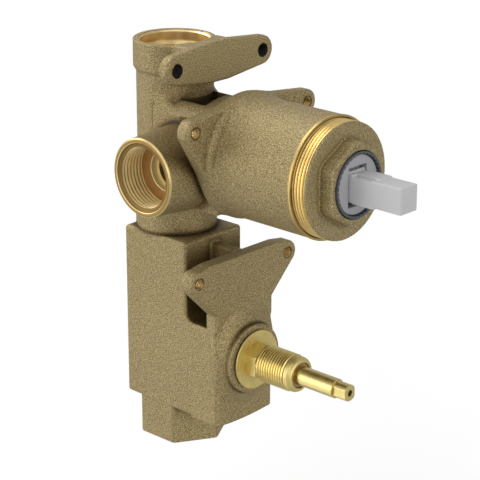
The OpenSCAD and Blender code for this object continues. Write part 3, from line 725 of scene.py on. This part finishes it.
for s, sx in (("left", -1), ("right", 1)):
    ear_hole("top_ear_hole_" + s, sx * 25, 169.5, -23.0, 2.2, 2.5, 2.88, (M_HOLE, M_HOLEG), 4.9, 1.0)
    ear_hole("chamber_ear_hole_" + s, sx * 33, 149.0, -41.0, 1.95, 2.25, 2.62, (M_GE, M_EARG), 5.9, 0.8)
    ear_hole("lower_ear_hole_" + s, sx * 26.75, 83.2, -36.25, 1.95, 2.25, 2.62, (M_GE, M_EARG), 6.1, 0.8)

# ------------------------------------------------------------------ cartridge nut
def nut_field(X, Y, Z):
    r = ln(X, Z - CZ)
    disc = np.minimum(prism(r - 22.9, Y, -90.0, -84.0, 0.3), prism(r - 23.9, Y, -90.15, -89.35, 0.3))
    hx = prism(ri(hex2(X, Z - CZ, 15.9, 1.2), r - 17.7, 0.8), Y, -96.4, -88.0, 0.8)
    d = ru(disc, hx, 0.7)
    d = rd(d, prism(r - 13.7, Y, -100, -80), 0.35)
    return np.maximum(d, -prism(r - 20.6, Y, -84.5, -70))
V, Q, N = nets(nut_field, (-24.6, -97.9, CZ - 24.6), (24.6, -83.2, CZ + 24.6), 0.42)
# painted shade in the nut's inner corners, kept in the 'shade' attribute
obj_from("nut_cap", V, Q, M_NUT, "body", ("cartridge_nut",), N, shade=painted_crease_shade(nut_field, V, N, 3.0))
piece("nut_thread", [
    polar([(84.0, 20.6), (75.0, 20.6), (75.0, 22.6), (75.6, 23.0)], pb, 160),
], M_GN, "body", ("cartridge_nut",))
two_tone("nut_thread", (23.0, 23.95, 75.6, 89.5, 1.5, pb, 176), (M_GN, M_NUTG), "body", ("cartridge_nut",), "cast_brass_nut", fade=0.2, crest=0.28, root=0.14)

# ------------------------------------------------------------------ lever
def lever_field(X, Y, Z0):
    Z = Z0 - CZ
    root2 = poly2(Y, Z, [(-88, -4.3), (-92, -4.85), (-98, -6.5), (-108, -6.5), (-108, 4.3), (-88, 4.3)])
    d = prism(root2, X, -5.05, 5.05, 0.45)
    d = np.minimum(d, box(X, Y, Z, (-2.0, -109, 3.5), (5.0, -97, 5.3), 0.35))
    d = np.minimum(d, box(X, Y, Z, (-2.4, -105, -7.5), (2.4, -101, -5), 0.35))
    d = np.minimum(d, box(X, Y, Z, (-5.0, -97.5, 3.5), (-1.0, -94.5, 5.3), 0.35))
    d = ru(d, box(X, Y, Z, (-4.95, -121.3, -5.85), (4.95, -106.5, 4.85), 0.45), 0.3)
    d = np.minimum(d, np.maximum(prism(ln(Y + 88, Z) - 7.4, X, -4.95, 4.95, 0.4), Y + 85.5))
    fan = poly2(Y, Z, [(-88, 0), (-88 - 14 * math.cos(math.radians(42)), 14 * math.sin(math.radians(42))), (-103, 0), (-88 - 14 * math.cos(math.radians(53)), -14 * math.sin(math.radians(53)))])
    d = np.minimum(d, prism(ri(ln(Y + 88, Z) - 9.3, fan, 0.35), X, -4.9, 4.9, 0.3))
    d = np.minimum(d, prism(ln(Y + 88, Z) - 4.3, X, -5.05, 5.05, 0.3))
    neck = prism(ln(X, Z) - 2.2, Y, -88, -74, 0.1)
    d = ru(d, neck, 0.6)
    d = np.minimum(d, ln(X, Y + 73, Z) - 3.0)
    d = np.maximum(d, -prism(ln(Y + 88, Z) - 1.55, X, -8, 8))
    return d
V, Q, N = nets(lever_field, (-6.2, -122.2, CZ - 8.6), (6.2, -69, CZ + 8.3), 0.30)
obj_from("lever_moulding", V, Q, M_LEVER, "lever", ("lever",), N)

# ------------------------------------------------------------------ bonnet and spindle
pd = axis_map("y", (0, 0, DZ), 1)
def hexr(ap, cap):
    def r(th):
        t = (th + math.pi / 6) % (math.pi / 3) - math.pi / 6
        return np.minimum(ap / np.cos(t), cap)
    return r
def cone(h):
    return hexr(7.25, 8.37 - max(0.0, h - 48.5) * 0.8)
piece("bonnet_body", [
    polar([(28.5, 7.4), (28.5, 10.6), (28.9, 10.95), (42.8, 10.95), (42.8, 12.55), (42.95, 12.75), (43.3, 12.75), (43.5, 12.55), (43.5, 8.6), (43.5, 6.0)], pd, 160),
    polar([(64.4, 7.1), (64.45, 7.45), (64.6, 7.6), (66.1, 7.6), (66.9, 7.46), (67.6, 7.1), (68.05, 6.6), (68.2, 6.2), (68.2, 5.6), (66.4, 5.6), (66.4, 4.15), (33.2, 4.15), (33.2, 7.4), (28.5, 7.4)], pd, 128),
], M_FACE, "body", ("diverter_bonnet",))
two_tone("bonnet_thread", (7.1, 7.97, 49.0, 64.45, 1.337, pd, 128), (M_GY, M_BONG), "body", ("diverter_bonnet",), "turned_brass", fade=0.25, crest=0.26, root=0.12)
piece("bonnet_hexagon", [
    polar([(43.4, hexr(7.25, 9))] + [(h, cone(h)) for h in (48.4, 48.5, 48.6, 48.7, 48.8, 48.9, 49.0)] + [(49.02, 6.8)], pd, 336),
], M_FACE, "body", ("diverter_bonnet",))

def flat_r(half, r0):
    def r(th):
        c = np.abs(np.cos(th))
        return np.minimum(r0, half / np.maximum(c, 1e-6))
    return r
piece("spindle_stem", [
    polar([(12.4, 0.05), (12.4, 4.1), (29.0, 4.1), (29.0, 6.9), (31.4, 6.9), (31.4, 4.1), (54.0, 4.1), (54.0, 2.75), (56.1, 2.75), (56.1, 4.1),
           (60.0, 4.1), (60.0, 2.75), (62.1, 2.75), (62.1, 4.1), (66.6, 4.1), (66.6, 3.3), (67.7, 3.3), (67.7, 4.1), (87.5, 4.1), (87.75, 3.9),
           (87.8, flat_r(2.95, 3.5)), (94.1, flat_r(2.95, 3.5)), (94.5, flat_r(2.7, 3.2)), (94.5, 1.5), (94.3, 1.3), (88.5, 1.3), (88.5, 0.05)], pd, 256),
], M_GY, "diverter_stem", ("diverter_spindle",))
piece("spindle_drive_plate", [
    polar([(10.0, 0.05), (10.0, 8.3), (12.4, 8.3), (12.4, 0.05)], pd, 96),
], M_GY, "diverter_stem", ("diverter_spindle",))

# ------------------------------------------------------------------ camera, light, floor
cam = bpy.data.cameras.new("camera")
co = bpy.data.objects.new("camera", cam)
bpy.context.scene.collection.objects.link(co)
co.location = (-0.5301, -0.5328, 0.3508)
az, el = math.radians(46.71), math.radians(19.36)
dvec = Vector((math.sin(az) * math.cos(el), math.cos(az) * math.cos(el), -math.sin(el)))
co.rotation_mode = "QUATERNION"
co.rotation_quaternion = dvec.to_track_quat("-Z", "Y")
cam.sensor_width = 36
cam.lens = 139.49
cam.clip_start = 0.02
cam.clip_end = 20
bpy.context.scene.camera = co

def sun(name, azimuth, elevation, energy, angle=38):
    """a wide soft light far away; azimuth 0 is +Y and 90 is +X, towards the light"""
    l = bpy.data.lights.new(name, "SUN")
    l.energy = energy
    l.angle = math.radians(angle)
    o = bpy.data.objects.new(name, l)
    bpy.context.scene.collection.objects.link(o)
    a, e = math.radians(azimuth), math.radians(elevation)
    v = Vector((math.sin(a) * math.cos(e), math.cos(a) * math.cos(e), math.sin(e)))
    o.rotation_mode = "QUATERNION"
    o.rotation_quaternion = (-v).to_track_quat("-Z", "Y")
    return o

sun("back", 0, 40, 1.46, 45)
sun("top", 0, 90, 0.30, 45)
sun("front", 180, 5, 0.94, 45)
sun("left_high", 270, 40, 0.34, 45)
sun("left_low", 315, -35, 0.32, 45)
sun("left", 315, 5, 0.84, 45)
sun("fill", 238, 12, 0.34, 30)

w = bpy.data.worlds.new("world")
bpy.context.scene.world = w
w.use_nodes = True
nt = w.node_tree
nt.nodes["Background"].inputs["Color"].default_value = (1, 1, 1, 1)
nt.nodes["Background"].inputs["Strength"].default_value = 0.52

me = bpy.data.meshes.new("floor")
s = 6.0
me.from_pydata([(-s, -s, 0), (s, -s, 0), (s, s, 0), (-s, s, 0)], [], [(0, 1, 2, 3)])
fl = bpy.data.objects.new("floor", me)
fl.location = (0, 0, -0.09)
bpy.context.scene.collection.objects.link(fl)
fm, fnt, fb, fco = mat_new("floor_white")
fn = noise(fnt, fco, 3, 2, 0.5)
fnt.links.new(ramp(fnt, fn, [(0.3, (0.93, 0.93, 0.93)), (0.7, (0.95, 0.95, 0.95))]), fb.inputs["Base Color"])
fb.inputs["Roughness"].default_value = 0.9
me.materials.append(fm)
fl.visible_diffuse = False
fl.visible_glossy = False
fl.visible_shadow = False

vs = bpy.context.scene.view_settings
vs.view_transform = "Standard"
